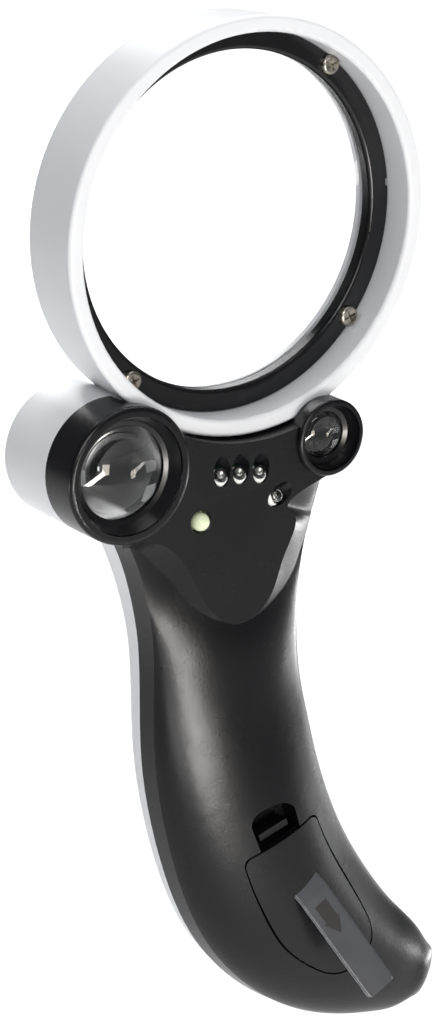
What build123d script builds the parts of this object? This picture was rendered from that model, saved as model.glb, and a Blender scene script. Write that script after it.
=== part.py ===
from build123d import *
import os
from math import atan2, cos, hypot, radians, sin, sqrt

# Hand-held illuminated magnifier with three lenses, used to look at bank notes.
#
# Millimetres. +Z is up along the handle, +X is to the right of a viewer who faces
# the black front, and the front looks along -Y. The origin is the middle of the
# grip, on the plane where the black front shell meets the white rear body.
# "Height" means distance in front of that parting plane, so height = -Y, and
# everything behind the plane has a negative height.

os.makedirs("parts", exist_ok=True)

# ---------------------------------------------------------------- driving sizes

GAP = 0.3                   # clearance between parts that only lie side by side
WALL = 2.0                  # moulded wall of the handle

# main lens and the ring that carries it
LENS_X, LENS_Z = 4.5, 110.0
LENS_RADIUS = 38.0          # 75 mm nominal lens
LENS_EDGE = 2.0
LENS_BULGE = 3.1            # crown of each face above the lens edge
RING_RADIUS = 45.0
RING_REAR_RADIUS = 43.6     # the outside tapers towards the rear
RING_FRONT, RING_REAR = 5.8, -12.3
LIP_RADIUS = 41.35          # inside of the front lip
REAR_LIP_RADIUS = 41.0
LENS_SEAT = -7.1            # face that the lens rests on
SEAT_RADIUS = 36.6
SHOULDER = LENS_SEAT + LENS_EDGE
RETAINER_RADIUS = 41.1
RETAINER_BORE = 36.5
RETAINER_FACE = -1.9
SCREW_CIRCLE = 39.7
SCREW_ANGLES = (50.5, 140.5, 230.5, 320.5)

# the two loupe barrels beside the neck
BIG_X, BIG_Z = -28.4, 62.6
BIG_RADIUS, BIG_FRONT, BIG_REAR = 15.0, 9.8, -16.5
BIG_BORE, BIG_LENS_RADIUS = 12.9, 11.1
SMALL_X, SMALL_Z = 22.7, 62.2
SMALL_RADIUS, SMALL_FRONT, SMALL_REAR = 8.5, 10.3, -14.0
SMALL_BORE, SMALL_LENS_RADIUS = 7.3, 5.9

# flat lamp panel between the barrels, and its tongue down the neck
PANEL = 9.0
PANEL_FOOT = 6.1            # height where the panel's sloping sides end
PANEL_SLOPE = 4.4           # how far they spread on the left; half as much again on the right
PANEL_WALL = 2.2
PANEL_GAP_RADIUS = 45.4     # the panel's top edge follows the ring

# handle sections: x, z, heading from straight down, half width, front, rear,
# and how much higher the straight sides stand at the front and at the rear
HANDLE = (
    (-3.2, 62.0, 0, 30.0, 6.2, 11.5, 1.2, 4.6),
    (-3.65, 50.0, 0, 26.35, 6.2, 11.5, 1.2, 4.6),
    (-2.7, 41.0, 0, 22.4, 6.3, 11.3, 1.2, 3.8),
    (-2.3, 32.0, 0, 20.2, 7.2, 11.2, 1.1, 2.4),
    (-1.65, 22.0, 0, 19.15, 9.2, 11.0, 0.7, 1.2),
    (-0.8, 8.0, 2, 19.6, 10.6, 11.0, 0.0, 0.3),
    (0.5, -4.3, 8, 20.6, 12.0, 11.0, 0.0, 0.0),
    (4.3, -21.7, 20, 21.2, 13.6, 11.0, 0.0, 0.0),
    (12.2, -41.0, 30, 21.1, 14.0, 10.8, 0.0, 0.0),
    (22.3, -54.2, 40, 19.2, 13.2, 10.4, 0.0, 0.0),
    (36.0, -64.7, 54, 15.0, 11.4, 9.8, 0.0, 0.0),
    (44.6, -68.7, 65, 11.9, 9.8, 9.0, 0.0, 0.0),
    (49.1, -70.8, 68, 9.6, 8.8, 8.2, 0.0, 0.0),
)
TIP_RADIUS = 7.9            # rounding of the handle's lower tip
TIP_ANGLES = (24, 42, 58, 72, 84)
FRONT_WALL, REAR_WALL = 4.7, 3.0    # straight sides next to the parting plane

# battery bay, its door and the pull tab
CELL_X, CELL_Z = 14.2, -40.6
CELL_RADIUS, CELL_HEIGHT = 10.0, 3.2
CELL_TOP = 9.8
CELL_GAP = 0.05
CONTACT_PLATE = 10.6        # underside of the contact carried by the door
TRAY_FLOOR = 2.2
TRAY_RADIUS = 10.5
DOOR_GAP = 0.5
DOOR_MIDDLE = (15.5, -43.0)
DOOR_CORNERS = ((-1.9, -29.4), (17.9, -22.9))
DOOR_RIGHT = ((21.3, -31.3), (26.9, -41.1), (31.6, -49.2))
DOOR_END = ((33.6, -56.5), (25.5, -62.7), (17.2, -59.4))
DOOR_LEFT = ((9.7, -52.8), (3.5, -42.8), (0.2, -35.6))
HINGE_X, HINGE_Z = 28.6, -62.4
SLOT_X, SLOT_Z, SLOT_HEIGHT = 14.3, -38.8, 14.0
RECESS_FLOOR = 7.6
TAB_HEADING = 29.0          # the tab's way down the handle, from straight down
PULL_LIFT = 35.0            # the film leaves the slot at this angle to the door
TAB_LIFT = 18.6             # and then bends to this angle
TAB_WIDTH, TAB_FILM = 7.6, 0.25
TAB_ROOT, TAB_OUTER, TAB_INNER = 2.0, 27.5, 7.0

# lamps
LED_RADIUS = 1.5
LED_LENGTH = 5.3
LED_TILT = 50.0             # the aimed lamps lean this far from the panel's normal
LED_HEIGHT = 8.3            # centre of an aimed lamp's dome
READING_LAMPS = ((-5.05, 58.5), (-0.25, 58.2), (4.9, 57.5))
UV_LAMP = (9.2, 51.2)
UV_BEARING = 30.0           # the ultraviolet lamp points this far above +X
TORCH_LAMP = (-10.4, 49.1)
TORCH_RADIUS = 2.0
CHANNEL_GAP = 0.7           # round the lamps in their channels

# circuit board, switch and case screws
BOARD_FRONT, BOARD_REAR = 2.2, 1.0
SWITCH_X, SWITCH_Z = -1.2, 38.0
SWITCH_TRAVEL = 2.0
KNOB_SEAT, KNOB_FACE = -11.6, -13.6
KNOB_WIDTH, KNOB_LENGTH = 8.0, 12.6
STEM_WIDTH, STEM_LENGTH = 3.0, 3.2
CASE_SCREWS = ((-17.5, 47.0), (15.7, 46.8), (-7.5, -3.0), (41.5, -67.0))
BOARD_SCREWS = ((-10.4, 57.0), (7.4, 36.0))
SCREW_SEAT = -4.0
WIRE_RADIUS = 0.6

FORWARD = (0, -1, 0)        # the direction the front looks


# ------------------------------------------------------------- planes and shapes

def level(height):
    """Plane at a height in front of the parting plane, seen from the front."""
    return Plane.XZ.offset(height)


def turning(x, z):
    """Plane for profiles turned about a front-to-back axis: (radius, height)."""
    return Plane(origin=(x, 0, z), x_dir=(1, 0, 0), z_dir=(0, 0, -1))


def turning_axis(x, z):
    return Axis((x, 0, z), FORWARD)


def across_plane(x, z, heading):
    """Plane across the handle: local x to the right, local y towards the front."""
    a = radians(heading)
    return Plane(origin=(x, 0, z), x_dir=(cos(a), 0, sin(a)), z_dir=(sin(a), 0, -cos(a)))


def turned(x, z, points, rounded=(), radius=0.5):
    """Ring or cup turned from a (radius, height) polygon with some corners rounded."""
    with BuildPart() as ring:
        with BuildSketch(turning(x, z)) as profile:
            with BuildLine():
                Polyline(*points, close=True)
            make_face()
            corners = profile.vertices()
            chosen = [corners.sort_by_distance(points[i])[0] for i in rounded]
            if chosen:
                fillet(chosen, radius)
        revolve(axis=turning_axis(x, z))
    return ring.part


def lens(x, z, radius, front, edge, front_bulge, rear_bulge):
    """Lens with spherical faces; front is the height of its front rim."""
    rear = front - edge
    with BuildPart() as glass:
        with BuildSketch(turning(x, z)):
            with BuildLine():
                if front_bulge:
                    arc_middle = spherical_middle(radius, front_bulge)
                    ThreePointArc((radius, front), (radius / 2, front + arc_middle),
                                  (0, front + front_bulge))
                else:
                    Line((radius, front), (0, front))
                Line((0, front + front_bulge), (0, rear - rear_bulge))
                if rear_bulge:
                    arc_middle = spherical_middle(radius, rear_bulge)
                    ThreePointArc((0, rear - rear_bulge), (radius / 2, rear - arc_middle),
                                  (radius, rear))
                else:
                    Line((0, rear), (radius, rear))
                Line((radius, rear), (radius, front))
            make_face()
        revolve(axis=turning_axis(x, z))
    return glass.part


def spherical_middle(radius, bulge):
    """Height of a spherical cap at half its radius."""
    sphere = (radius ** 2 + bulge ** 2) / (2 * bulge)
    return sqrt(sphere ** 2 - radius ** 2 / 4) - (sphere - bulge)


def tip_stations():
    """Handle sections that close the lower tip as a rounded end."""
    x, z, heading, _, front, rear, *rises = HANDLE[-1]
    a = radians(heading)
    stations = []
    for angle in TIP_ANGLES:
        reach, shrink = TIP_RADIUS * sin(radians(angle)), cos(radians(angle))
        stations.append((x + reach * sin(a), z - reach * cos(a), heading,
                         TIP_RADIUS * shrink, front * shrink, rear * shrink, *rises))
    return stations


def handle_section(station, inset):
    """Closed cross-section of the handle: straight sides and a domed front and rear."""
    x, z, heading, half_width, front, rear, front_rise, rear_rise = station
    w, front, rear = half_width - inset, front - inset, rear - inset
    side = min(FRONT_WALL, 0.75 * front) + front_rise - 0.2 * inset
    back = min(REAR_WALL, 0.35 * rear) + rear_rise
    lean, ease = 0.025 * w, 0.08 * w
    front_arc = ((w - lean, side), (w - lean - ease, side + 0.5 * (front - side)),
                 (0.55 * w, front), (0, front))
    rear_arc = ((w - lean, -back), (w - lean, -back - 0.5 * (rear - back)),
                (0.6 * w, -rear), (0, -rear))
    with BuildSketch(across_plane(x, z, heading)) as section:
        with BuildLine():
            Line((w, 0), front_arc[0])
            Bezier(*front_arc)
            Bezier(*[(-a, b) for a, b in reversed(front_arc)])
            Line((lean - w, side), (-w, 0))
            Line((-w, 0), (lean - w, -back))
            Bezier(*[(-a, b) for a, b in rear_arc])
            Bezier(*reversed(rear_arc))
            Line(rear_arc[0], (w, 0))
        make_face()
    return section.sketch.face()


def handle_body(inset):
    """The handle's outer form, or the same form shrunk by inset."""
    stations = list(HANDLE)
    if inset < TIP_RADIUS / 2:
        stations += [s for s in tip_stations() if s[5] > inset + 1.0 and s[3] > inset + 1.0]
    with BuildPart() as body:
        loft(sections=[handle_section(station, inset) for station in stations])
    return body.part


def panel_face(height, spread):
    """Outline of the lamp panel and its tongue; spread widens it."""
    with BuildSketch(level(height)) as panel:
        with BuildLine():
            Spline(
                (BIG_X, BIG_Z - BIG_RADIUS - 0.4 * spread),
                (-17.2 - spread, 43.6 - 0.4 * spread),
                (-11.9 - spread, 35.5),
                (-8.6 - 0.9 * spread, 29.6 - 0.3 * spread),
                (-0.4, 24.4 - 0.7 * spread),
                (7.6 + 1.3 * spread, 29.2 - 0.3 * spread),
                (10.9 + 1.5 * spread, 37.2),
                (14.0 + 1.45 * spread, 45.6 - 0.4 * spread),
                (SMALL_X, SMALL_Z - SMALL_RADIUS - 0.2 * spread),
                tangents=((1, 0), (1, 0.3 + 0.5 * spread)),
            )
            Polyline((SMALL_X, SMALL_Z - SMALL_RADIUS - 0.2 * spread), (SMALL_X, SMALL_Z),
                     (LENS_X, LENS_Z), (BIG_X, BIG_Z),
                     (BIG_X, BIG_Z - BIG_RADIUS - 0.4 * spread))
        make_face()
    return panel.sketch.face()


def moved_out(points, spread):
    """Outline points pushed away from the middle of the battery door."""
    middle_x, middle_z = DOOR_MIDDLE
    moved = []
    for x, z in points:
        dx, dz = x - middle_x, z - middle_z
        scale = 1 + spread / hypot(dx, dz)
        moved.append((middle_x + scale * dx, middle_z + scale * dz))
    return moved


def door_face(height, spread=0.0):
    """Outline of the battery door; spread widens it to the opening in the shell."""
    left, right = moved_out(DOOR_CORNERS, spread)
    sides = moved_out(DOOR_RIGHT + DOOR_END + DOOR_LEFT, spread)
    with BuildSketch(level(height)) as door:
        with BuildLine():
            Line(left, right)
            Spline(right, *sides, left)
        make_face()
        fillet(door.vertices(), 2.0)
    return door.sketch.face()


def recess_face(height, spread):
    """Outline of the finger recess above the door; spread widens it."""
    with BuildSketch(level(height)) as recess:
        with BuildLine():
            Polyline((13.0 + spread, -25.4), (11.5 + spread, -19.6))
            Spline((11.5 + spread, -19.6), (8.7 + 0.4 * spread, -17.8 + 0.8 * spread),
                   (4.0, -17.9 + spread), (0.6 - 0.6 * spread, -19.3 + 0.7 * spread),
                   (-0.2 - spread, -21.6))
            Polyline((-0.2 - spread, -21.6), (0.9 - spread, -24.6), (2.4 - spread, -28.8),
                     (13.0 + spread, -25.4))
        make_face()
    return recess.sketch.face()


def lamp_plane(x, z, height, bearing, tilt):
    """Plane through a lamp's dome centre, its normal along the way the lamp points."""
    b, t = radians(bearing), radians(tilt)
    return Plane(origin=(x, -height, z), z_dir=(sin(t) * cos(b), -cos(t), sin(t) * sin(b)))


def lamp(plane, radius=LED_RADIUS):
    """Round lamp: domed body, base flange and two leads that reach the board."""
    body = LED_LENGTH - radius
    lean = plane.z_dir.dot(Vector(*FORWARD))
    reach = (-plane.origin.Y - BOARD_FRONT) / lean + 1.5
    with BuildPart() as part:
        with BuildSketch(plane.offset(-body)):
            Circle(radius)
        extrude(amount=body)
        with Locations(plane):
            Sphere(radius)
        with BuildSketch(plane.offset(-body)):
            Circle(radius + 0.35)
        extrude(amount=1.0)
        with BuildSketch(plane.offset(-body)):
            with GridLocations(1.27, 1, 2, 1):
                Rectangle(0.45, 0.45)
        extrude(amount=body - reach)
        split(bisect_by=level(BOARD_FRONT), keep=Keep.TOP)
    return part.part


def lens_screw_spots():
    """Centres of the four screws round the main lens."""
    return [(LENS_X + SCREW_CIRCLE * cos(radians(a)), LENS_Z + SCREW_CIRCLE * sin(radians(a)))
            for a in SCREW_ANGLES]


def save(part, name):
    part.label = name
    export_step(part, f"parts/{name}.step")


# -------------------------------------------------------------- handle envelopes

outer_form = handle_body(0)
inner_form = handle_body(WALL)
wall_form = handle_body(WALL / 2)
tray_form = handle_body(WALL + 0.5)

READING_PLANES = [lamp_plane(x, z, LED_HEIGHT, 90, LED_TILT) for x, z in READING_LAMPS]
UV_PLANE = lamp_plane(*UV_LAMP, LED_HEIGHT, UV_BEARING, LED_TILT)
TORCH_PLANE = lamp_plane(*TORCH_LAMP, PANEL - 0.4, 90, 0)

with BuildPart() as handle_hollow:
    add(inner_form)
    with BuildSketch(level(-20)):
        with Locations((BIG_X, BIG_Z)):
            Circle(BIG_RADIUS)
        with Locations((SMALL_X, SMALL_Z)):
            Circle(SMALL_RADIUS)
    extrude(amount=40, mode=Mode.SUBTRACT)
hollow = handle_hollow.part


def pillars(radius, depth):
    """Screw pillars that stand on the parting plane and end inside the shell's wall."""
    with BuildPart() as group:
        with BuildSketch(level(0)):
            with Locations(*CASE_SCREWS):
                Circle(radius)
        extrude(amount=depth)
        add(wall_form, mode=Mode.INTERSECT)
    return group.part


# ------------------------------------------------------------------- rear body

ring_profile = (
    (RING_RADIUS, RING_FRONT), (LIP_RADIUS, RING_FRONT), (LIP_RADIUS, SHOULDER),
    (LENS_RADIUS + GAP, SHOULDER), (LENS_RADIUS + GAP, LENS_SEAT),
    (SEAT_RADIUS, LENS_SEAT - 0.3), (SEAT_RADIUS, LENS_SEAT - 2.5), (REAR_LIP_RADIUS, LENS_SEAT - 2.5),
    (REAR_LIP_RADIUS, RING_REAR), (RING_REAR_RADIUS, RING_REAR),
)
lens_ring = turned(LENS_X, LENS_Z, ring_profile, (0, 1, 8, 9), 0.9)

with BuildPart() as rear_body:
    add(outer_form)
    split(bisect_by=Plane.XZ, keep=Keep.BOTTOM)
    # web behind the lamp panel, from barrel to barrel and up to the ring
    with BuildSketch(level(0)):
        with BuildLine():
            Polyline((BIG_X, BIG_Z - 4), (SMALL_X, SMALL_Z - 4), (SMALL_X, SMALL_Z),
                     (LENS_X, LENS_Z - 43), (BIG_X, BIG_Z), close=True)
        make_face()
    extrude(amount=-10.6)
    for x, z, radius, rear in ((BIG_X, BIG_Z, BIG_RADIUS, BIG_REAR),
                               (SMALL_X, SMALL_Z, SMALL_RADIUS, SMALL_REAR)):
        with BuildSketch(level(0)):
            with Locations((x, z)):
                Circle(radius)
        extrude(amount=rear, taper=1)
    # the ring replaces whatever reaches inside it
    with BuildSketch(level(RING_FRONT)):
        with Locations((LENS_X, LENS_Z)):
            Circle(RING_REAR_RADIUS - 1)
    extrude(amount=RING_REAR - RING_FRONT - 5, mode=Mode.SUBTRACT)
    add(lens_ring)
    add(hollow, mode=Mode.SUBTRACT)
    with BuildSketch(level(0)):
        with BuildLine():
            Polyline((BIG_X + 15.6, BIG_Z - 9), (SMALL_X - 9.2, SMALL_Z - 8),
                     (SMALL_X - 9.2, SMALL_Z - 1), (LENS_X, LENS_Z - 47.5),
                     (BIG_X + 15.6, BIG_Z - 1), close=True)
        make_face()
    extrude(amount=WALL - 10.6, mode=Mode.SUBTRACT)
    # case screw pillars
    add(pillars(3.9, -14))
    with BuildSketch(level(SCREW_SEAT)):
        with Locations(*CASE_SCREWS):
            Circle(2.7)
    extrude(amount=-12, mode=Mode.SUBTRACT)
    with BuildSketch(level(0)):
        with Locations(*CASE_SCREWS):
            Circle(1.35)
    extrude(amount=SCREW_SEAT, mode=Mode.SUBTRACT)
    # through bores of the two loupes, with eyepiece recesses at the rear
    for x, z, bore, sight, rear in (
        (BIG_X, BIG_Z, BIG_LENS_RADIUS + 0.15, 9.4, BIG_REAR),
        (SMALL_X, SMALL_Z, SMALL_LENS_RADIUS + 0.15, 4.6, SMALL_REAR),
    ):
        with BuildSketch(level(0)):
            with Locations((x, z)):
                Circle(bore)
        extrude(amount=rear + 3.2, mode=Mode.SUBTRACT)
        with BuildSketch(level(0)):
            with Locations((x, z)):
                Circle(sight)
        extrude(amount=rear - 1, mode=Mode.SUBTRACT)
        with BuildSketch(level(rear + 1.4)):
            with Locations((x, z)):
                Circle(bore + 0.6)
        extrude(amount=-3, mode=Mode.SUBTRACT)
    # notches beside the heads of the lens screws, and their pilot holes
    with BuildSketch(level(RETAINER_FACE - 0.2)):
        with Locations(*lens_screw_spots()):
            Circle(2.45)
    extrude(amount=2.6, mode=Mode.SUBTRACT)
    with BuildSketch(level(SHOULDER)):
        with Locations(*lens_screw_spots()):
            Circle(0.87)
    extrude(amount=-3.6, mode=Mode.SUBTRACT)
    # switch slot
    with BuildSketch(level(0)):
        with Locations((SWITCH_X, SWITCH_Z)):
            Rectangle(STEM_WIDTH + 0.6, STEM_LENGTH + 2 * SWITCH_TRAVEL + 0.6)
    extrude(amount=-14, mode=Mode.SUBTRACT)
save(rear_body.part, "rear_body")


# ------------------------------------------------------------------ front shell

with BuildPart() as recess_block:
    extrude(recess_face(RECESS_FLOOR - 1.2, 1.2), amount=10)
    add(wall_form, mode=Mode.INTERSECT)

# battery tray: a web across the handle with a round cup for the cells
with BuildPart() as tray_cup:
    with BuildSketch(level(TRAY_FLOOR - 1.2)):
        with Locations((CELL_X, CELL_Z)):
            Circle(TRAY_RADIUS + 1.4)
    extrude(amount=CELL_TOP - TRAY_FLOOR + 1.2)
    add(tray_form, mode=Mode.INTERSECT)

with BuildPart() as battery_tray:
    with BuildSketch(level(TRAY_FLOOR - 1.2)):
        with Locations(Location((CELL_X, CELL_Z, 0), (0, 0, 28))):
            Rectangle(60, 2 * TRAY_RADIUS + 6)
    extrude(amount=1.2)
    add(wall_form, mode=Mode.INTERSECT)
    add(tray_cup.part)
    with BuildSketch(level(TRAY_FLOOR)):
        with Locations((CELL_X, CELL_Z)):
            Circle(TRAY_RADIUS)
    extrude(amount=14, mode=Mode.SUBTRACT)

# lamp panel with sloping sides, trimmed along the handle's right edge
with BuildPart() as lamp_panel:
    loft(sections=[panel_face(PANEL, 0), panel_face(PANEL_FOOT, PANEL_SLOPE)])
    with BuildSketch(level(0)):
        with BuildLine():
            right_edge = Spline(*[(x + 0.968 * width, z) for x, z, _, width, *_ in HANDLE[:6]])
            Polyline(right_edge @ 1, (-60, 8), (-60, LENS_Z), (60, LENS_Z), (60, 62),
                     right_edge @ 0)
        make_face()
    extrude(amount=PANEL + 1, mode=Mode.INTERSECT)

with BuildPart() as front_shell:
    add(outer_form)
    split(bisect_by=Plane.XZ, keep=Keep.TOP)
    add(lamp_panel.part)
    extrude(panel_face(PANEL_FOOT, 0), amount=-PANEL_FOOT)
    # everything stays clear of the lens ring
    with BuildSketch(level(0)):
        with Locations((LENS_X, LENS_Z)):
            Circle(PANEL_GAP_RADIUS)
    extrude(amount=PANEL + 1, mode=Mode.SUBTRACT)
    with BuildSketch(level(0)):
        with Locations((BIG_X, BIG_Z)):
            Circle(BIG_RADIUS)
        with Locations((SMALL_X, SMALL_Z)):
            Circle(SMALL_RADIUS)
    extrude(amount=RING_FRONT + GAP)
    with BuildSketch(level(0)):
        with Locations((LENS_X, LENS_Z)):
            Circle(RING_RADIUS + GAP)
    extrude(amount=RING_FRONT + GAP, mode=Mode.SUBTRACT)
    add(turned(BIG_X, BIG_Z, (
        (0, RING_FRONT + GAP), (BIG_RADIUS, RING_FRONT + GAP), (BIG_RADIUS, BIG_FRONT),
        (0, BIG_FRONT)), (2,), 1.1))
    add(turned(SMALL_X, SMALL_Z, (
        (0, RING_FRONT + GAP), (SMALL_RADIUS, RING_FRONT + GAP), (SMALL_RADIUS, SMALL_FRONT),
        (0, SMALL_FRONT)), (2,), 0.7))
    add(hollow, mode=Mode.SUBTRACT)
    # hollow behind the lamp panel
    with BuildSketch(level(0)):
        with BuildLine():
            Polyline((-14.5, 47), (-8.5, 31), (7, 31), (11, 43), (16, 52.5), (12.5, 62.6),
                     (LENS_X - 1, 62.3), (-11, 62.6), (-14.8, 55), close=True)
        make_face()
    extrude(amount=PANEL - PANEL_WALL, mode=Mode.SUBTRACT)
    # pillars for the case screws and the board screws
    add(pillars(2.8, 12))
    with BuildSketch(level(BOARD_FRONT)):
        with Locations(*BOARD_SCREWS):
            Circle(2.0)
    extrude(amount=PANEL - PANEL_WALL - BOARD_FRONT + 0.2)
    with BuildSketch(level(BOARD_FRONT)):
        with Locations(*BOARD_SCREWS):
            Circle(0.75)
    extrude(amount=3.5, mode=Mode.SUBTRACT)
    with BuildSketch(level(0)):
        with Locations(*CASE_SCREWS):
            Circle(1.0)
    extrude(amount=4.0, mode=Mode.SUBTRACT)
    # bores of the loupes
    for x, z, bore, front in ((BIG_X, BIG_Z, BIG_BORE, BIG_FRONT),
                              (SMALL_X, SMALL_Z, SMALL_BORE, SMALL_FRONT)):
        with BuildSketch(level(0)):
            with Locations((x, z)):
                Circle(bore)
        extrude(amount=front + 1, mode=Mode.SUBTRACT)
    # lamp windows: slanting channels for the aimed lamps, a plain hole for the torch
    for plane in (*READING_PLANES, UV_PLANE):
        with BuildSketch(plane.offset(-LED_LENGTH)):
            Circle(LED_RADIUS + CHANNEL_GAP)
        extrude(amount=2 * LED_LENGTH, mode=Mode.SUBTRACT)
    with BuildSketch(level(PANEL - PANEL_WALL - 1)):
        with Locations(TORCH_LAMP):
            Circle(TORCH_RADIUS + 0.45)
    extrude(amount=PANEL_WALL + 2, mode=Mode.SUBTRACT)
    with BuildSketch(level(PANEL)):
        with Locations(TORCH_LAMP):
            Circle(TORCH_RADIUS + 0.8)
    extrude(amount=-0.35, taper=45, mode=Mode.SUBTRACT)
    # walls and floor of the finger recess, then the door's opening and the recess
    add(recess_block.part)
    extrude(door_face(6.0, DOOR_GAP), amount=10, mode=Mode.SUBTRACT)
    extrude(recess_face(RECESS_FLOOR, 0), amount=9, mode=Mode.SUBTRACT)
    add(battery_tray.part)
save(front_shell.part, "front_shell")


# ----------------------------------------------------------- main lens and frame

def screws(seat, spots, out, head_radius, head_height, shank_radius, length):
    """Cross-recess screws seated at a height; out is 1 for heads towards the front."""
    with BuildPart() as group:
        with BuildSketch(level(seat)):
            with Locations(*spots):
                Circle(head_radius)
        extrude(amount=out * head_height)
        rims = group.edges().filter_by(GeomType.CIRCLE).group_by(Axis.Y)[0 if out > 0 else -1]
        fillet(rims, 0.6 * head_height)
        for turn in (0, 90):
            with BuildSketch(level(seat + out * head_height)):
                with Locations(*spots):
                    Rectangle(0.5, 1.25 * head_radius, rotation=turn + 20)
            extrude(amount=-out * 0.65 * head_height, mode=Mode.SUBTRACT)
        with BuildSketch(level(seat)):
            with Locations(*spots):
                Circle(shank_radius)
        extrude(amount=-out * length)
    return group.part


with BuildPart() as main_lens:
    add(lens(LENS_X, LENS_Z, LENS_RADIUS, SHOULDER, LENS_EDGE, LENS_BULGE, LENS_BULGE))
save(main_lens.part, "main_lens")

with BuildPart() as lens_retainer:
    add(turned(LENS_X, LENS_Z, (
        (RETAINER_RADIUS, RETAINER_FACE), (RETAINER_RADIUS, SHOULDER + 0.01),
        (LENS_RADIUS + GAP, SHOULDER + 0.01), (RETAINER_BORE, SHOULDER + 0.33),
        (RETAINER_BORE, RETAINER_FACE)), (4,), 0.9))
    with BuildSketch(level(RETAINER_FACE)):
        with Locations(*lens_screw_spots()):
            Circle(1.1)
    extrude(amount=SHOULDER - RETAINER_FACE, mode=Mode.SUBTRACT)
    # gate notch on the rim
    with BuildSketch(level(RETAINER_FACE)):
        with Locations((LENS_X + RETAINER_RADIUS, LENS_Z + 3)):
            Rectangle(1.2, 1.6)
    extrude(amount=-1.0, mode=Mode.SUBTRACT)
save(lens_retainer.part, "lens_retainer")

with BuildPart() as lens_screws:
    add(screws(RETAINER_FACE, lens_screw_spots(), 1, 2.2, 1.1, 0.84, 6.5))
save(lens_screws.part, "lens_screws")


# -------------------------------------------------------------------- two loupes

def bezel(x, z, bore, front, sight, lens_radius, depth):
    """Dished ring that presses into a barrel and holds the loupe's front lens."""
    with BuildPart() as ring:
        add(turned(x, z, (
            (bore - 0.1, front - 0.6), (sight + 1.0, front - 3.1), (sight, front - 3.4),
            (sight, front - 3.8), (lens_radius + 0.1, front - 3.8),
            (lens_radius + 0.1, front - depth), (bore - 0.1, front - depth))))
        with BuildSketch(level(0)):
            with Locations((LENS_X, LENS_Z)):
                Circle(RING_RADIUS + GAP)
        extrude(amount=RING_FRONT + GAP, mode=Mode.SUBTRACT)
    return ring.part


with BuildPart() as large_loupe_bezel:
    add(bezel(BIG_X, BIG_Z, BIG_BORE, BIG_FRONT, 10.25, BIG_LENS_RADIUS, 9.0))
save(large_loupe_bezel.part, "large_loupe_bezel")

with BuildPart() as large_loupe_lens:
    add(lens(BIG_X, BIG_Z, BIG_LENS_RADIUS, BIG_FRONT - 4.21, 1.6, 2.6, 1.6))
save(large_loupe_lens.part, "large_loupe_lens")

with BuildPart() as large_loupe_spacer:
    add(turned(BIG_X, BIG_Z, (
        (BIG_LENS_RADIUS, BIG_FRONT - 6.14), (BIG_LENS_RADIUS, BIG_REAR + 5.43),
        (BIG_LENS_RADIUS - 1.1, BIG_REAR + 5.43), (BIG_LENS_RADIUS - 1.1, BIG_FRONT - 6.14))))
save(large_loupe_spacer.part, "large_loupe_spacer")

with BuildPart() as large_loupe_eye_lens:
    add(lens(BIG_X, BIG_Z, BIG_LENS_RADIUS, BIG_REAR + 5.15, 1.9, 1.4, 0))
save(large_loupe_eye_lens.part, "large_loupe_eye_lens")

with BuildPart() as small_loupe_bezel:
    add(bezel(SMALL_X, SMALL_Z, SMALL_BORE, SMALL_FRONT, 5.2, SMALL_LENS_RADIUS, 7.0))
save(small_loupe_bezel.part, "small_loupe_bezel")

with BuildPart() as small_loupe_lens:
    add(lens(SMALL_X, SMALL_Z, SMALL_LENS_RADIUS, SMALL_FRONT - 4.16, 1.3, 1.5, 1.0))
save(small_loupe_lens.part, "small_loupe_lens")

with BuildPart() as small_loupe_spacer:
    add(turned(SMALL_X, SMALL_Z, (
        (SMALL_LENS_RADIUS, SMALL_FRONT - 5.73), (SMALL_LENS_RADIUS, SMALL_REAR + 5.0),
        (SMALL_LENS_RADIUS - 0.8, SMALL_REAR + 5.0), (SMALL_LENS_RADIUS - 0.8, SMALL_FRONT - 5.73))))
save(small_loupe_spacer.part, "small_loupe_spacer")

with BuildPart() as small_loupe_eye_lens:
    add(lens(SMALL_X, SMALL_Z, SMALL_LENS_RADIUS, SMALL_REAR + 4.75, 1.5, 0.9, 0))
save(small_loupe_eye_lens.part, "small_loupe_eye_lens")


# --------------------------------------------------------- lamps and electronics

for name, plane in zip(("reading_lamp_left", "reading_lamp_middle", "reading_lamp_right"),
                       READING_PLANES):
    save(lamp(plane), name)
save(lamp(UV_PLANE), "uv_lamp")
save(lamp(TORCH_PLANE, TORCH_RADIUS), "torch_lamp")

with BuildPart() as circuit_board:
    with BuildSketch(level(BOARD_REAR)) as outline:
        with BuildLine():
            Polyline((-12.9, 60.5), (-12.9, 43.0), (-8.6, 31.5), (6.8, 31.5), (10.8, 39.5),
                     (10.8, 60.5), close=True)
        make_face()
        fillet(outline.vertices(), 1.0)
        with Locations(*BOARD_SCREWS):
            Circle(1.1, mode=Mode.SUBTRACT)
    extrude(amount=BOARD_FRONT - BOARD_REAR)
save(circuit_board.part, "circuit_board")

with BuildPart() as board_screws:
    add(screws(BOARD_REAR, BOARD_SCREWS, -1, 1.9, 1.0, 0.73, 4.2))
save(board_screws.part, "board_screws")

with BuildPart() as resistors:
    with BuildSketch(level(BOARD_FRONT)):
        with Locations((-5.2, 44.5), (-1.2, 44.5), (2.8, 44.5), (-1.2, 36.5)):
            Rectangle(1.6, 3.2)
    extrude(amount=0.6)
save(resistors.part, "resistors")

with BuildPart() as slide_switch:
    with BuildSketch(level(BOARD_REAR)):
        with Locations((SWITCH_X, SWITCH_Z)):
            Rectangle(4.4, 9.0)
    extrude(amount=-4.2)
    fillet(slide_switch.edges().filter_by(Axis.Y), 0.4)
    with BuildSketch(level(BOARD_REAR - 4.2)):
        with Locations((SWITCH_X, SWITCH_Z)):
            Rectangle(2.2, 2.2 + 2 * SWITCH_TRAVEL)
    extrude(amount=2.2, mode=Mode.SUBTRACT)
save(slide_switch.part, "slide_switch")

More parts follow.
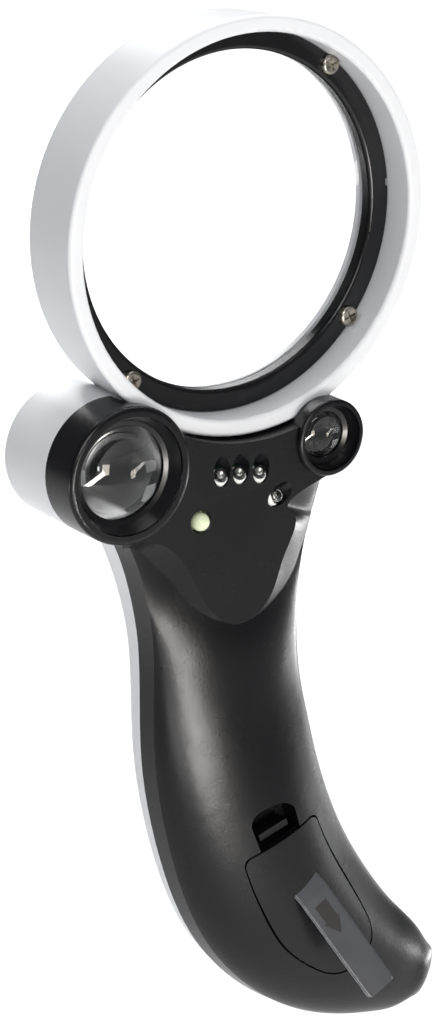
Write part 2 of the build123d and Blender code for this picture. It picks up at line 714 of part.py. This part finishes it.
with BuildPart() as switch_lever:
    with BuildSketch(level(BOARD_REAR - 2.3)):
        with Locations((SWITCH_X, SWITCH_Z)):
            Rectangle(1.8, 1.8)
    extrude(amount=-5.2)
save(switch_lever.part, "switch_lever")

with BuildPart() as switch_knob:
    with BuildSketch(level(KNOB_SEAT)):
        with Locations((SWITCH_X, SWITCH_Z)):
            RectangleRounded(KNOB_WIDTH, KNOB_LENGTH, 2.6)
    extrude(amount=KNOB_FACE - KNOB_SEAT)
    fillet(switch_knob.faces().sort_by(Axis.Y)[-1].edges(), 0.9)
    with BuildSketch(level(KNOB_FACE)):
        with Locations((SWITCH_X, SWITCH_Z)):
            with GridLocations(1, 1.7, 1, 5):
                Rectangle(KNOB_WIDTH - 2.2, 0.6)
    extrude(amount=0.5, mode=Mode.SUBTRACT)
    with BuildSketch(level(KNOB_SEAT)):
        with Locations((SWITCH_X, SWITCH_Z)):
            Rectangle(STEM_WIDTH, STEM_LENGTH)
            Rectangle(1.9, 1.9, mode=Mode.SUBTRACT)
    extrude(amount=6.6)
save(switch_knob.part, "switch_knob")

with BuildPart() as case_screws:
    add(screws(SCREW_SEAT, CASE_SCREWS, -1, 2.4, 1.5, 0.98, 7.6))
save(case_screws.part, "case_screws")


# ------------------------------------------------------------------- battery bay

def coin_cell(top):
    """Coin cell: a can with a narrower negative cap below it."""
    r, low = CELL_RADIUS, top - CELL_HEIGHT
    return turned(CELL_X, CELL_Z, (
        (0, top), (r - 0.3, top), (r, top - 0.3), (r, low + 0.4), (r - 0.4, low + 0.3),
        (r - 1.3, low + 0.3), (r - 1.5, low), (0, low)))


with BuildPart() as upper_cell:
    add(coin_cell(CELL_TOP))
save(upper_cell.part, "upper_cell")

LOWER_TOP = CELL_TOP - CELL_HEIGHT - CELL_GAP
with BuildPart() as lower_cell:
    add(coin_cell(LOWER_TOP))
save(lower_cell.part, "lower_cell")

with BuildPart() as negative_contact:
    with BuildSketch(level(TRAY_FLOOR)):
        with Locations((CELL_X, CELL_Z)):
            Circle(5.0)
    extrude(amount=0.3)
    with BuildSketch(level(TRAY_FLOOR + 0.3)):
        with Locations((CELL_X, CELL_Z)):
            with PolarLocations(3.2, 3):
                Circle(1.1)
    extrude(amount=LOWER_TOP - CELL_HEIGHT - TRAY_FLOOR - 0.35, taper=35)
save(negative_contact.part, "negative_contact")


def bay_plane(x, z):
    """Side view of the door: local x runs up the handle, local y to the front."""
    a = radians(TAB_HEADING)
    return Plane(origin=(x, 0, z), x_dir=(-sin(a), 0, cos(a)), z_dir=(cos(a), 0, sin(a)))


with BuildPart() as positive_contact:
    with BuildSketch(bay_plane(CELL_X, CELL_Z)):
        with BuildLine():
            Polyline((12.2, TRAY_FLOOR), (13.4, TRAY_FLOOR), (13.4, TRAY_FLOOR + 0.4),
                     (12.6, TRAY_FLOOR + 0.4), (12.6, 10.55), (12.2, 10.55), close=True)
        make_face()
    extrude(amount=2.5, both=True)
save(positive_contact.part, "positive_contact")

with BuildPart() as door_contact:
    with BuildSketch(bay_plane(CELL_X, CELL_Z)):
        with BuildLine():
            Polyline((12.9, CONTACT_PLATE), (8.6, CONTACT_PLATE), (8.0, 10.45), (7.35, 10.45),
                     (7.35, 10.7), (8.0, 10.75), (8.6, CONTACT_PLATE + 0.3),
                     (12.9, CONTACT_PLATE + 0.3), close=True)
        make_face()
    extrude(amount=3.0, both=True)
save(door_contact.part, "door_contact")


# --------------------------------------------------------- battery door and tab

def film(thickness, inner, root, outer):
    """Side outline of the pull tab: straight through the slot, bent outside it."""
    pull, lift = radians(PULL_LIFT), radians(TAB_LIFT)
    start = (inner * cos(pull), SLOT_HEIGHT - inner * sin(pull))
    bend = (-root * cos(pull), SLOT_HEIGHT + root * sin(pull))
    end = (bend[0] - outer * cos(lift), bend[1] + outer * sin(lift))
    with BuildSketch(bay_plane(SLOT_X, SLOT_Z)) as side:
        with BuildLine():
            if outer:
                FilletPolyline(start, bend, end, radius=5)
            else:
                Line(start, bend)
        trace(line_width=thickness)
    return side.sketch.face()


rim_form = handle_body(WALL + 0.3)
lug_form = handle_body(WALL + 1.4)

# pad that carries the contact
with BuildPart() as contact_pad:
    with BuildSketch(bay_plane(CELL_X, CELL_Z)):
        with Locations((10.9, 12.0)):
            Rectangle(2.6, 2 * (12.0 - CONTACT_PLATE - 0.3))
    extrude(amount=2.4, both=True)
    add(wall_form, mode=Mode.INTERSECT)

# lugs that tuck under the shell at the door's lower end, and their roots
with BuildPart() as hinge_lugs:
    with BuildSketch(level(5.0)):
        with Locations(Location((HINGE_X, HINGE_Z, 0), (0, 0, 27))):
            with GridLocations(6.0, 1, 2, 1):
                Rectangle(2.6, 4.8)
    extrude(amount=10)
    add(rim_form, mode=Mode.INTERSECT)
    add(lug_form, mode=Mode.SUBTRACT)

with BuildPart() as lug_roots:
    with BuildSketch(level(5.0)):
        with Locations(Location((HINGE_X, HINGE_Z, 0), (0, 0, 27))):
            with GridLocations(6.0, 1, 2, 1):
                with Locations((0, 2.2)):
                    Rectangle(2.6, 0.8)
    extrude(amount=10)
    add(wall_form, mode=Mode.INTERSECT)
    add(lug_form, mode=Mode.SUBTRACT)

with BuildPart() as battery_door:
    extrude(door_face(6.0), amount=10)
    add(outer_form, mode=Mode.INTERSECT)
    add(inner_form, mode=Mode.SUBTRACT)
    add(contact_pad.part)
    # slanting slot for the pull tab
    slot = film(TAB_FILM + 0.35, 6.5, 1.5, 0)
    extrude(slot, amount=TAB_WIDTH / 2 + 0.3, both=True, mode=Mode.SUBTRACT)
    add(hinge_lugs.part)
    add(lug_roots.part)
    # sprung latch tongue at the upper end
    (x0, z0), (x1, z1) = DOOR_CORNERS
    a = atan2(z1 - z0, x1 - x0)
    top_edge = Plane(origin=(7.4, 0, -26.4), x_dir=(-sin(a), 0, cos(a)), z_dir=(cos(a), 0, sin(a)))
    with BuildSketch(top_edge):
        with BuildLine():
            Polyline((-2.2, 12.2), (-2.2, 8.4), (3.2, 8.4), (3.2, 11.7), (1.6, 11.7), (1.6, 9.4),
                     (-1.2, 9.4), (-1.2, 12.2), close=True)
        make_face()
    extrude(amount=3.9, both=True)
save(battery_door.part, "battery_door")

with BuildPart() as pull_tab:
    extrude(film(TAB_FILM, TAB_INNER, TAB_ROOT, TAB_OUTER), amount=TAB_WIDTH / 2, both=True)
save(pull_tab.part, "pull_tab")


# ------------------------------------------------------------------------- wires

def wire(points, bend):
    """Insulated wire that runs flat behind the board."""
    height = BOARD_REAR - WIRE_RADIUS - 0.01
    with BuildPart() as lead:
        with BuildLine() as route:
            FilletPolyline(*[(x, -height, z) for x, z in points], radius=bend)
        with BuildSketch(Plane(origin=route.line @ 0, z_dir=route.line % 0)):
            Circle(WIRE_RADIUS)
        sweep()
    return lead.part


with BuildPart() as positive_wire:
    add(wire(((5.4, -30.0), (4.6, -14.0), (-0.5, 4.0), (-3.6, 19.0), (-5.6, 34.0)), 20))
save(positive_wire.part, "positive_wire")
with BuildPart() as negative_wire:
    add(wire(((9.6, -33.0), (8.4, -15.0), (4.6, 4.0), (2.2, 19.0), (3.2, 34.0)), 20))
save(negative_wire.part, "negative_wire")
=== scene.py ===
from math import cos, pi, radians, sin, sqrt, tan

import bmesh
import bpy
from mathutils import Matrix, Quaternion, Vector


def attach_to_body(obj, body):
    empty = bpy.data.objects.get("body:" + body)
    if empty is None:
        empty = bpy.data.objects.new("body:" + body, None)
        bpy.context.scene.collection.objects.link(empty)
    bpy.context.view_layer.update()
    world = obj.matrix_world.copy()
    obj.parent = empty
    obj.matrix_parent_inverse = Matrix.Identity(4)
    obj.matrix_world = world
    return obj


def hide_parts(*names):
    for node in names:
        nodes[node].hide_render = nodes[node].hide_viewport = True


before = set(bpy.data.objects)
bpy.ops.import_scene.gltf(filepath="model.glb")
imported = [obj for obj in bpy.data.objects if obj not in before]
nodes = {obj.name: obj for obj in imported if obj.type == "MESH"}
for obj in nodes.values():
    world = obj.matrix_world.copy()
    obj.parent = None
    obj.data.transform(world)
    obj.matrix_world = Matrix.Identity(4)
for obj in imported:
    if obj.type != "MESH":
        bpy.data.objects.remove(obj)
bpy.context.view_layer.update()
MM = 0.001
FRONT = Vector((0, -1, 0))      # the way the black front faces


# ------------------------------------------------------------------ materials

def material(name, base, rough, spread, mottle=60.0, shade=0.0, grain=0.0, grain_scale=1500.0, **sockets):
    """Procedural material in object space.

    Roughness wanders by spread and colour by shade, in patches of scale mottle; grain is the
    strength of a fine bump. Other shader sockets are set by name, with _ for a space.
    """
    mat = bpy.data.materials.new(name)
    mat.use_nodes = True
    tree = mat.node_tree
    shader = tree.nodes["Principled BSDF"]
    shader.inputs["Base Color"].default_value = (*base, 1.0)
    shader.inputs["Roughness"].default_value = rough
    for socket, value in sockets.items():
        shader.inputs[socket.replace("_", " ")].default_value = value
    where = tree.nodes.new("ShaderNodeTexCoord")
    patches = tree.nodes.new("ShaderNodeTexNoise")
    patches.inputs["Scale"].default_value = mottle
    patches.inputs["Detail"].default_value = 4.0
    tree.links.new(where.outputs["Object"], patches.inputs["Vector"])
    roughness = tree.nodes.new("ShaderNodeMapRange")
    roughness.inputs["From Min"].default_value = 0.3
    roughness.inputs["From Max"].default_value = 0.7
    roughness.inputs["To Min"].default_value = rough - spread
    roughness.inputs["To Max"].default_value = rough + spread
    tree.links.new(patches.outputs["Fac"], roughness.inputs["Value"])
    tree.links.new(roughness.outputs["Result"], shader.inputs["Roughness"])
    if shade:
        ramp = tree.nodes.new("ShaderNodeValToRGB")
        darker, lighter = ramp.color_ramp.elements
        darker.position = 0.3
        lighter.position = 0.7
        darker.color = (*[c * (1 - shade) for c in base], 1.0)
        lighter.color = (*[min(c * (1 + shade), 1.0) for c in base], 1.0)
        tree.links.new(patches.outputs["Fac"], ramp.inputs["Fac"])
        tree.links.new(ramp.outputs["Color"], shader.inputs["Base Color"])
    if grain:
        fine = tree.nodes.new("ShaderNodeTexNoise")
        fine.inputs["Scale"].default_value = grain_scale
        fine.inputs["Detail"].default_value = 3.0
        bump = tree.nodes.new("ShaderNodeBump")
        bump.inputs["Strength"].default_value = grain
        bump.inputs["Distance"].default_value = 0.05 * MM
        tree.links.new(where.outputs["Object"], fine.inputs["Vector"])
        tree.links.new(fine.outputs["Fac"], bump.inputs["Height"])
        tree.links.new(bump.outputs["Normal"], shader.inputs["Normal"])
    return mat


# moulded plastics
white = material("white_abs", (0.83, 0.842, 0.868), 0.34, 0.04, shade=0.01, grain=0.12, grain_scale=900)
black = material("black_abs", (0.004, 0.004, 0.0052), 0.27, 0.03, shade=0.08, grain=0.5,
                 Specular_IOR_Level=0.4)
gloss = material("black_gloss", (0.005, 0.005, 0.006), 0.2, 0.03, shade=0.05, grain=0.1,
                 Specular_IOR_Level=0.45)
acrylic = material("clear_acrylic", (1, 1, 1), 0.01, 0.008, 40, Transmission_Weight=1.0, IOR=1.49)

# metals
screw_metal = material("screw_nickel", (0.42, 0.39, 0.34), 0.27, 0.06, 700, shade=0.08, grain=0.15,
                       grain_scale=3000, Metallic=1.0)
steel = material("cell_steel", (0.62, 0.62, 0.61), 0.3, 0.06, 300, shade=0.05, grain=0.1,
                 grain_scale=3000, Metallic=1.0)
contact_metal = material("tinned_contact", (0.66, 0.65, 0.6), 0.34, 0.05, 400, shade=0.06, Metallic=1.0)

# lamps
epoxy = material("lamp_epoxy", (0.98, 0.99, 0.99), 0.02, 0.015, 400, Transmission_Weight=1.0, IOR=1.52)
phosphor = material("lamp_phosphor", (0.80, 0.88, 0.60), 0.16, 0.04, 900, shade=0.06)
milky = material("lamp_body", (0.86, 0.87, 0.84), 0.16, 0.05, 500, shade=0.03, Coat_Weight=0.5)
carrier = material("lamp_carrier", (0.10, 0.10, 0.11), 0.3, 0.08, 900, shade=0.1, Metallic=1.0)

# electronics
board = material("solder_mask", (0.02, 0.13, 0.06), 0.35, 0.05, 300, shade=0.12, grain=0.1)
chip = material("chip_ceramic", (0.02, 0.02, 0.022), 0.5, 0.05, 900, shade=0.1, grain=0.1)
red_lead = material("red_insulation", (0.42, 0.02, 0.02), 0.4, 0.05, 500, shade=0.08, grain=0.1)
black_lead = material("black_insulation", (0.015, 0.015, 0.015), 0.4, 0.05, 500, shade=0.08, grain=0.1)

# pull tab
film = material("tab_film", (0.085, 0.088, 0.098), 0.22, 0.04, 120, shade=0.05, Alpha=0.86,
                Coat_Weight=0.3)
film_edge = material("tab_film_edge", (0.62, 0.64, 0.67), 0.25, 0.05, 300, shade=0.03)
ink = material("tab_ink", (0.012, 0.012, 0.013), 0.4, 0.04, 800, shade=0.1)

LOOKS = (
    (white, ("rear_body",)),
    (black, ("front_shell", "battery_door", "switch_knob")),
    (gloss, ("lens_retainer", "large_loupe_bezel", "small_loupe_bezel", "large_loupe_spacer",
             "small_loupe_spacer")),
    (acrylic, ("main_lens", "large_loupe_lens", "large_loupe_eye_lens", "small_loupe_lens",
               "small_loupe_eye_lens")),
    (screw_metal, ("lens_screws", "board_screws", "case_screws")),
    (board, ("circuit_board",)),
    (chip, ("resistors", "slide_switch", "switch_lever")),
    (steel, ("upper_cell", "lower_cell")),
    (contact_metal, ("negative_contact", "positive_contact", "door_contact")),
    (red_lead, ("positive_wire",)),
    (black_lead, ("negative_wire",)),
    (film, ("pull_tab",)),
    (epoxy, ("reading_lamp_left", "reading_lamp_middle", "reading_lamp_right", "uv_lamp")),
    (phosphor, ("torch_lamp",)),
)
for mat, names in LOOKS:
    for name in names:
        slots = nodes[name].data.materials
        slots.clear()
        slots.append(mat)


# ---------------------------------------------------------------- mesh helpers

def mesh_piece(name, verts, faces, mats, smooth=True, face_mats=None):
    """New closed mesh object from lists, with its materials and its normals pointing out."""
    mesh = bpy.data.meshes.new(name)
    mesh.from_pydata(verts, [], faces)
    mesh.validate()
    for mat in mats:
        mesh.materials.append(mat)
    for k, face in enumerate(mesh.polygons):
        face.use_smooth = smooth
        if face_mats:
            face.material_index = face_mats[k]
    work = bmesh.new()
    work.from_mesh(mesh)
    bmesh.ops.recalc_face_normals(work, faces=work.faces)
    work.to_mesh(mesh)
    work.free()
    piece = bpy.data.objects.new(name, mesh)
    bpy.context.collection.objects.link(piece)
    return piece


def attach(piece, body):
    """Makes a piece ride on a body."""
    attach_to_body(piece, body)


def turned_mesh(profile, centre, axis, steps=48):
    """Vertices and faces of a (radius, along) profile in metres, turned about an axis.

    The profile starts and ends on the axis.
    """
    spin = axis.to_track_quat("Z", "Y").to_matrix()
    verts = []
    rings = []
    for radius, along in profile:
        first = len(verts)
        if radius == 0:
            rings.append([first] * steps)
            verts.append(centre + spin @ Vector((0, 0, along)))
            continue
        rings.append(list(range(first, first + steps)))
        for k in range(steps):
            turn = 2 * pi * k / steps
            verts.append(centre + spin @ Vector((radius * cos(turn), radius * sin(turn), along)))
    faces = []
    for low, high in zip(rings, rings[1:]):
        for k in range(steps):
            n = (k + 1) % steps
            corners = (low[k], high[k], high[n], low[n])
            faces.append(tuple(dict.fromkeys(corners)))
    return verts, faces


def in_metres(profile):
    return [(radius * MM, along * MM) for radius, along in profile]


# ----------------------------------------------------------------------- lamps

DOME_RADIUS = 1.5 * MM
COLLAR_RADIUS = 1.85 * MM
LAMP_LENGTH = 5.3 * MM
DOME_STEPS = 14
SEAT, RIM = -0.8 * MM, -0.5 * MM            # along the lamp, from the centre of its dome
SOFT_EDGE = 0.1 * MM
SLACK = 0.02 * MM                           # between the dome's foot and the collar
CARRIER = in_metres([(0, -0.7), (1.25, -0.7), (1.3, -0.65), (1.3, -0.5), (1.25, -0.45), (0, -0.45)])
CUP = in_metres([(0, -0.40), (0.5, -0.40), (0.62, 0.05), (0.52, 0.05), (0.34, -0.22), (0, -0.22)])
LEAD_SIDE, LEAD_HALF = 0.635 * MM, 0.225 * MM
LEAD_SINK, LEAD_GAP = 0.05 * MM, 0.25 * MM  # into the collar, and short of the board
BOARD_FRONT = 2.2 * MM                      # height of the board's front face


def lamp_direction(bearing, tilt):
    """Where a lamp points: tilted from the front towards a bearing measured from +X to +Z."""
    b, t = radians(bearing), radians(tilt)
    return Vector((sin(t) * cos(b), -cos(t), sin(t) * sin(b)))


def dome_centre(node, direction):
    """Centre of the CAD lamp's dome, found from the tip of its mesh."""
    spots = [v.co for v in nodes[node].data.vertices]
    reach = max(v.dot(direction) for v in spots)
    tips = [v for v in spots if v.dot(direction) > reach - 0.02 * MM]
    return sum(tips, Vector()) / len(tips) - DOME_RADIUS * direction


def lamp_leads(centre, direction, back):
    """Two square leads from the collar to just above the board."""
    spin = direction.to_track_quat("Z", "Y").to_matrix()
    to_board = (-centre.y - BOARD_FRONT) / -direction.y
    verts, faces = [], []
    for side in (-LEAD_SIDE, LEAD_SIDE):
        first = len(verts)
        for along in (back + LEAD_SINK, LEAD_GAP - to_board):
            for u, v in ((-1, -1), (1, -1), (1, 1), (-1, 1)):
                verts.append(centre + spin @ Vector((side + LEAD_HALF * u, LEAD_HALF * v, along)))
        for k in range(4):
            n = (k + 1) % 4
            faces.append((first + k, first + n, first + 4 + n, first + 4 + k))
        faces.append((first + 3, first + 2, first + 1, first))
        faces.append((first + 4, first + 5, first + 6, first + 7))
    return verts, faces


def dress_lamp(node, direction):
    """White collar, clear dome, chip carrier, bright cup and leads in place of the CAD lamp."""
    centre = dome_centre(node, direction)
    back = DOME_RADIUS - LAMP_LENGTH

    # collar, hollowed for the dome's foot
    collar_profile = [
        (0, back), (COLLAR_RADIUS - SOFT_EDGE, back), (COLLAR_RADIUS, back + SOFT_EDGE),
        (COLLAR_RADIUS, RIM - SOFT_EDGE), (COLLAR_RADIUS - SOFT_EDGE, RIM),
        (DOME_RADIUS + SOFT_EDGE, RIM), (DOME_RADIUS, RIM - SOFT_EDGE), (DOME_RADIUS, SEAT), (0, SEAT)]
    collar = mesh_piece(node + "_collar", *turned_mesh(collar_profile, centre, direction), [milky])
    attach(collar, "body")
    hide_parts(node)

    # dome
    foot = DOME_RADIUS - SLACK
    turns = [pi / 2 * k / DOME_STEPS for k in range(DOME_STEPS)]
    dome_profile = [(0, SEAT + SLACK), (foot, SEAT + SLACK), (foot, -0.05 * MM)]
    dome_profile += [(DOME_RADIUS * cos(turn), DOME_RADIUS * sin(turn)) for turn in turns]
    dome_profile.append((0, DOME_RADIUS))
    dome = mesh_piece(node + "_dome", *turned_mesh(dome_profile, centre, direction), [epoxy])
    attach(dome, "body")

    # what shows inside the dome
    for ending, mat, profile in (("_carrier", carrier, CARRIER), ("_cup", contact_metal, CUP)):
        inside = mesh_piece(node + ending, *turned_mesh(profile, centre, direction, 32), [mat])
        attach(inside, "body")

    leads = mesh_piece(node + "_leads", *lamp_leads(centre, direction, back), [contact_metal],
                       smooth=False)
    attach(leads, "body")


for node in ("reading_lamp_left", "reading_lamp_middle", "reading_lamp_right"):
    dress_lamp(node, lamp_direction(90, 50))
dress_lamp("uv_lamp", lamp_direction(30, 50))


# ---------------------------------------------------------------------- lenses

# node: middle x, z, radius, height of the front rim, rim thickness, front bulge, rear bulge, in mm
LENSES = {
    "main_lens": (4.5, 110.0, 38.0, -5.1, 2.0, 3.1, 3.1),
    "large_loupe_lens": (-28.4, 62.6, 11.1, 5.59, 1.6, 2.6, 1.6),
    "large_loupe_eye_lens": (-28.4, 62.6, 11.1, -11.35, 1.9, 1.4, 0),
    "small_loupe_lens": (22.7, 62.2, 5.9, 6.14, 1.3, 1.5, 1.0),
    "small_loupe_eye_lens": (22.7, 62.2, 5.9, -9.25, 1.5, 0.9, 0),
}
LENS_EDGE_SOFT = 0.08
LENS_RINGS = 40
LENS_STEPS = 128


def cap_height(r, radius, bulge):
    """Height of a spherical face above its rim, r from the middle."""
    if not bulge:
        return 0.0
    sphere = (radius ** 2 + bulge ** 2) / (2 * bulge)
    return sqrt(sphere ** 2 - r ** 2) - (sphere - bulge)


def dress_lens(node, x, z, radius, front, edge, front_bulge, rear_bulge):
    """Finely turned glass in place of the CAD lens."""
    rear = front - edge
    reach = [(radius - LENS_EDGE_SOFT) * k / LENS_RINGS for k in range(LENS_RINGS + 1)]
    profile = [(r, rear - cap_height(r, radius, rear_bulge)) for r in reach]
    profile += [(radius, rear + LENS_EDGE_SOFT), (radius, front - LENS_EDGE_SOFT)]
    profile += [(r, front + cap_height(r, radius, front_bulge)) for r in reversed(reach)]
    middle = Vector((x, 0, z)) * MM
    glass = mesh_piece(node + "_glass", *turned_mesh(in_metres(profile), middle, FRONT, LENS_STEPS),
                       [acrylic])
    attach(glass, "body")
    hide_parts(node)


for node, sizes in LENSES.items():
    dress_lens(node, *sizes)


# -------------------------------------------------------------------- pull tab

HEADING = radians(29)           # lean of the film's uphill direction from +Z towards -X
PULL = radians(35)              # slope of the stretch inside the door
LIFT = radians(18.6)            # slope of the stretch outside it
INNER = 7.0 * MM                # from the slot to the inner end
ROOT = 2.0 * MM                 # from the slot to the bend
OUTER = 27.5 * MM               # from the bend to the free end
BEND = 5.0 * MM                 # radius of the bend
HALF_WIDTH = 3.8 * MM
FILM = 0.25 * MM
FREE_CORNER = 1.1 * MM          # rounding of the free end's corners
INSIDE_STEPS, BEND_STEPS, OUTSIDE_STEPS, STEPS_ACROSS = 12, 10, 60, 12
SLOT = Vector((14.3, -14.0, -38.8)) * MM
ACROSS = Vector((cos(HEADING), 0, sin(HEADING)))
UPHILL = Vector((-sin(HEADING), 0, cos(HEADING)))

# arrow on the film: runs from the slot and half widths
ARROW_TAIL, ARROW_NECK, ARROW_TIP = 4.6 * MM, 9.2 * MM, 13.2 * MM
SHAFT, HEAD = 1.65 * MM, 2.3 * MM
INK_BOTTOM, INK_TOP = 0.005 * MM, 0.035 * MM


def tab_line():
    """Points of the film's middle line, (uphill, out) from the slot, inner end first."""
    inside = Vector((cos(PULL), -sin(PULL)))
    outside = Vector((-cos(LIFT), sin(LIFT)))
    start = INNER * inside
    corner = -ROOT * inside
    last = corner + OUTER * outside
    tangent = BEND * tan((PULL - LIFT) / 2)
    into = corner + tangent * inside
    away = corner + tangent * outside
    points = [start.lerp(into, k / INSIDE_STEPS) for k in range(INSIDE_STEPS)]
    for k in range(BEND_STEPS):
        t = k / (BEND_STEPS - 1)
        points.append((1 - t) ** 2 * into + 2 * t * (1 - t) * corner + t ** 2 * away)
    return points + [away.lerp(last, (k + 1) / OUTSIDE_STEPS) for k in range(OUTSIDE_STEPS)]


line = tab_line()
total = len(line) - 1
lengths = [0.0]
for a, b in zip(line, line[1:]):
    lengths.append(lengths[-1] + (b - a).length)


def tab_point(station, q, lift):
    """World point on the film: station counts its line's points, q is across, lift off its middle."""
    k = min(int(station), total - 1)
    here = line[k].lerp(line[k + 1], station - k)
    way = (line[k + 1] - line[k]).normalized()
    flat = here + lift * Vector((way.y, -way.x))
    return SLOT + flat.x * UPHILL + flat.y * FRONT + q * ACROSS


def half_width(station):
    """Half the film's width, less where the free end's corners round off."""
    k = min(int(station), total - 1)
    run = lengths[k] + (lengths[k + 1] - lengths[k]) * (station - k)
    into_corner = max(FREE_CORNER - (lengths[-1] - run), 0.0)
    return HALF_WIDTH - FREE_CORNER + sqrt(max(FREE_CORNER ** 2 - into_corner ** 2, 0.0))


def station_at(run):
    """Station at a distance out from the slot along the film."""
    goal = INNER + run
    k = next(k for k in range(total) if lengths[k + 1] >= goal)
    return k + (goal - lengths[k]) / (lengths[k + 1] - lengths[k])


def pull_tab_film():
    """The film with pale cut edges, in place of the CAD tab."""
    stations = list(range(total)) + [total - 1 + part for part in (0.3, 0.55, 0.75, 0.9, 1.0)]
    verts, faces, face_mats = [], [], []
    for station in stations:
        half = half_width(station)
        for lift in (FILM / 2, -FILM / 2):
            for m in range(STEPS_ACROSS + 1):
                verts.append(tab_point(station, half * (2 * m / STEPS_ACROSS - 1), lift))
    row = STEPS_ACROSS + 1
    last = (len(stations) - 1) * 2 * row
    for base in range(0, last, 2 * row):
        after = base + 2 * row
        for side in (0, row):
            for m in range(side, side + STEPS_ACROSS):
                faces.append((base + m, base + m + 1, after + m + 1, after + m))
                face_mats.append(0)
        for m in (0, STEPS_ACROSS):
            faces.append((base + m, base + row + m, after + row + m, after + m))
            face_mats.append(1)
    for base in (0, last):
        for m in range(base, base + STEPS_ACROSS):
            faces.append((m, m + 1, row + m + 1, row + m))
            face_mats.append(1)
    tab = mesh_piece("pull_tab_film", verts, faces, [film, film_edge], face_mats=face_mats)
    attach(tab, "pull_tab")
    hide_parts("pull_tab")


def pull_tab_arrow():
    """Plain arrow printed on the film, pointing to its free end."""
    outline = [(ARROW_TAIL, -SHAFT), (ARROW_NECK, -SHAFT), (ARROW_NECK, -HEAD), (ARROW_TIP, 0.0),
               (ARROW_NECK, HEAD), (ARROW_NECK, SHAFT), (ARROW_TAIL, SHAFT)]
    verts = []
    for lift in (FILM / 2 + INK_TOP, FILM / 2 + INK_BOTTOM):
        verts += [tab_point(station_at(run), q, lift) for run, q in outline]
    n = len(outline)
    faces = [tuple(range(n)), tuple(reversed(range(n, 2 * n)))]
    faces += [(k, n + k, n + (k + 1) % n, (k + 1) % n) for k in range(n)]
    arrow = mesh_piece("pull_tab_arrow", verts, faces, [ink], smooth=False)
    attach(arrow, "pull_tab")


pull_tab_film()
pull_tab_arrow()


# ----------------------------------------------------------------------- stage

FLOOR = -0.45
FLOOR_REACH = 30


def area_light(name, spot, target, size, power, colour=(1, 1, 1), spread=180, roll=0):
    """Rectangular light at a spot, size (across, up), aimed at a target and rolled about its aim."""
    data = bpy.data.lights.new(name, "AREA")
    data.shape = "RECTANGLE"
    data.size, data.size_y = size
    data.energy = power
    data.color = colour
    data.spread = radians(spread)
    light = bpy.data.objects.new(name, data)
    light.location = spot
    aim = Vector(target) - Vector(spot)
    turn = aim.to_track_quat("-Z", "Y") @ Quaternion((0, 0, 1), radians(roll))
    light.rotation_euler = turn.to_euler()
    bpy.context.collection.objects.link(light)


def pale_floor():
    mesh = bpy.data.meshes.new("floor")
    corners = [(x * FLOOR_REACH, y * FLOOR_REACH, FLOOR) for x, y in ((-1, -1), (1, -1), (1, 1), (-1, 1))]
    mesh.from_pydata(corners, [], [(0, 1, 2, 3)])
    mesh.materials.append(material("pale_floor", (0.7, 0.7, 0.705), 0.9, 0.05, 3.0, shade=0.01))
    floor = bpy.data.objects.new("floor", mesh)
    bpy.context.collection.objects.link(floor)


def dim_room():
    world = bpy.data.worlds.new("studio")
    bpy.context.scene.world = world
    world.use_nodes = True
    sky = world.node_tree.nodes["Background"]
    sky.inputs["Color"].default_value = (0.96, 0.98, 1.0, 1)
    sky.inputs["Strength"].default_value = 0.15


def camera_on_reference_view():
    """Camera on the perspective of the reference view."""
    data = bpy.data.cameras.new("camera")
    data.sensor_fit = "VERTICAL"
    data.sensor_height = 36.0
    data.lens = 140.625
    data.clip_start = 0.05
    camera = bpy.data.objects.new("camera", data)
    ahead = Vector((0.5362, 0.7839, -0.3131)).normalized()
    right = Vector((0.8254, -0.5646, 0.0)).normalized()
    right = (right - right.dot(ahead) * ahead).normalized()
    turn = Matrix((right, right.cross(ahead), -ahead)).transposed().to_4x4()
    camera.matrix_world = Matrix.Translation((-0.459666, -0.672011, 0.315427)) @ turn
    bpy.context.collection.objects.link(camera)
    bpy.context.scene.camera = camera


pale_floor()
dim_room()

# the white ground behind the object, and the main light on the white parts
area_light("floor_wash", (2.0, 2.9, 1.5), (1.9, 2.75, FLOOR), (2.4, 6.0), 150, spread=140)
area_light("key", (-0.75, -1.5, 0.85), (0, 0, 0.05), (0.9, 0.9), 12)
area_light("top", (0.1, -0.2, 1.3), (0, 0, 0.1), (0.8, 0.8), 3)

# low cards that draw the long highlights on the black shell and the slope beside its lamp panel
area_light("front_strip", (-0.09, -1.22, -0.36), (0, 0, 0), (0.1, 0.56), 7.0, (1.0, 0.97, 0.92), roll=-55)
area_light("front_fill", (-0.5, -1.12, -0.3), (0, 0, 0), (0.5, 0.4), 2)
area_light("side_card", (1.05, 0, -0.39), (0, 0, 0.03), (0.8, 0.1), 3.2)
area_light("low_left", (-1.2, 0.3, -0.3), (0, 0, 0.05), (0.5, 0.25), 2)

# small warm light for the spot in the large loupe
area_light("glint", (0.156, -1.18, -0.14), (-0.034, -0.0075, 0.0645), (0.15, 0.21), 1.2, (1.0, 0.93, 0.82))

camera_on_reference_view()
bpy.context.scene.view_settings.view_transform = "Standard"
